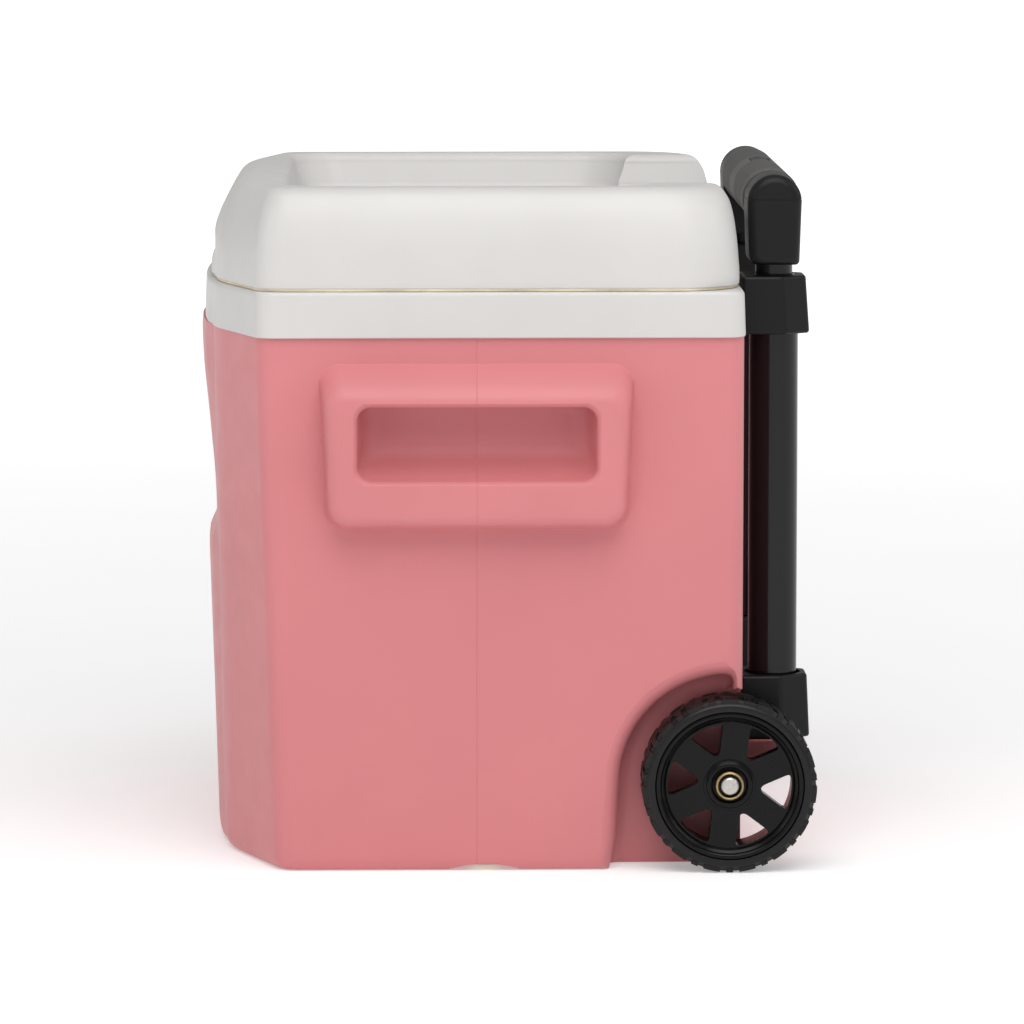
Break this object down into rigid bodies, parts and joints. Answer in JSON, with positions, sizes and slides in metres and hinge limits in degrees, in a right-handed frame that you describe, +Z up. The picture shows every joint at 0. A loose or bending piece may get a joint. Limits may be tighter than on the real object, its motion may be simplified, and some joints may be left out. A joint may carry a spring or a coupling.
{
  "type": "wheeled cooler",
  "caption": "Hard insulated cooler with a lift-off tray lid, recessed end handles, two rear wheels and a two-stage telescopic pull handle.",
  "frame": {"origin": "on the ground, under the middle of the overall bounding box", "axes": "X along the length, -Y to the front, +Y to the back with the pull handle and wheels, +Z up"},
  "size_m": [0.476, 0.398, 0.4455],
  "materials": {
    "shell_pink": "satin moulded plastic",
    "white_plastic": "satin moulded plastic",
    "foam": "rigid foam",
    "seal_rubber": "soft",
    "wheel_plastic": "satin moulded plastic",
    "tyre": "semi-gloss hard tread",
    "steel": "plain",
    "brass": "plated",
    "tube_black": "gloss coated",
    "black_plastic": "satin moulded plastic",
    "grip_rubber": "satin ribbed"
  },
  "bodies": {
    "body": {"outer_shell": "shell_pink", "foam_core": "foam", "inner_liner": "white_plastic", "axle": "steel", "axle_washers": "steel", "push_nuts": "brass", "outer_tube_left": "tube_black", "outer_tube_right": "tube_black", "upper_bracket_left": "black_plastic", "upper_bracket_right": "black_plastic", "lower_bracket_left": "black_plastic", "lower_bracket_right": "black_plastic", "bracket_screws": "steel"},
    "lid": {"lid_shell": "white_plastic", "lid_foam": "foam", "lid_pan": "white_plastic", "lid_seal": "seal_rubber"},
    "wheel_left": {"wheel_rim_left": "wheel_plastic", "tyre_left": "tyre"},
    "wheel_right": {"wheel_rim_right": "wheel_plastic", "tyre_right": "tyre"},
    "handle_mid": {"mid_tube_left": "tube_black", "mid_tube_right": "tube_black"},
    "handle_top": {"inner_tube_left": "tube_black", "inner_tube_right": "tube_black", "grip_core": "black_plastic", "grip_sleeve": "grip_rubber", "grip_cap_left": "black_plastic", "grip_cap_right": "black_plastic", "button_spring": "steel", "lock_rods": "steel", "lock_carriers": "black_plastic"},
    "button": {"release_button": "black_plastic"}
  },
  "joints": [
    {"name": "lid_lift", "type": "slide", "parent": "body", "child": "lid", "axis": [0, 0, 1], "range_m": [0, 0.35]},
    {"name": "wheel_left_spin", "type": "hinge", "parent": "body", "child": "wheel_left", "pos_m": [-0.203, 0.143, 0.056], "axis": [1, 0, 0], "continuous": true},
    {"name": "wheel_right_spin", "type": "hinge", "parent": "body", "child": "wheel_right", "pos_m": [0.203, 0.143, 0.056], "axis": [1, 0, 0], "continuous": true},
    {"name": "handle_mid_slide", "type": "slide", "parent": "body", "child": "handle_mid", "axis": [0, 0, 1], "range_m": [0, 0.24]},
    {"name": "handle_top_slide", "type": "slide", "parent": "handle_mid", "child": "handle_top", "axis": [0, 0, 1], "range_m": [0, 0.24]},
    {"name": "release_press", "type": "slide", "parent": "handle_top", "child": "button", "axis": [0, 0, -1], "range_m": [0, 0.004], "stiffness_N_per_m": 300}
  ]
}
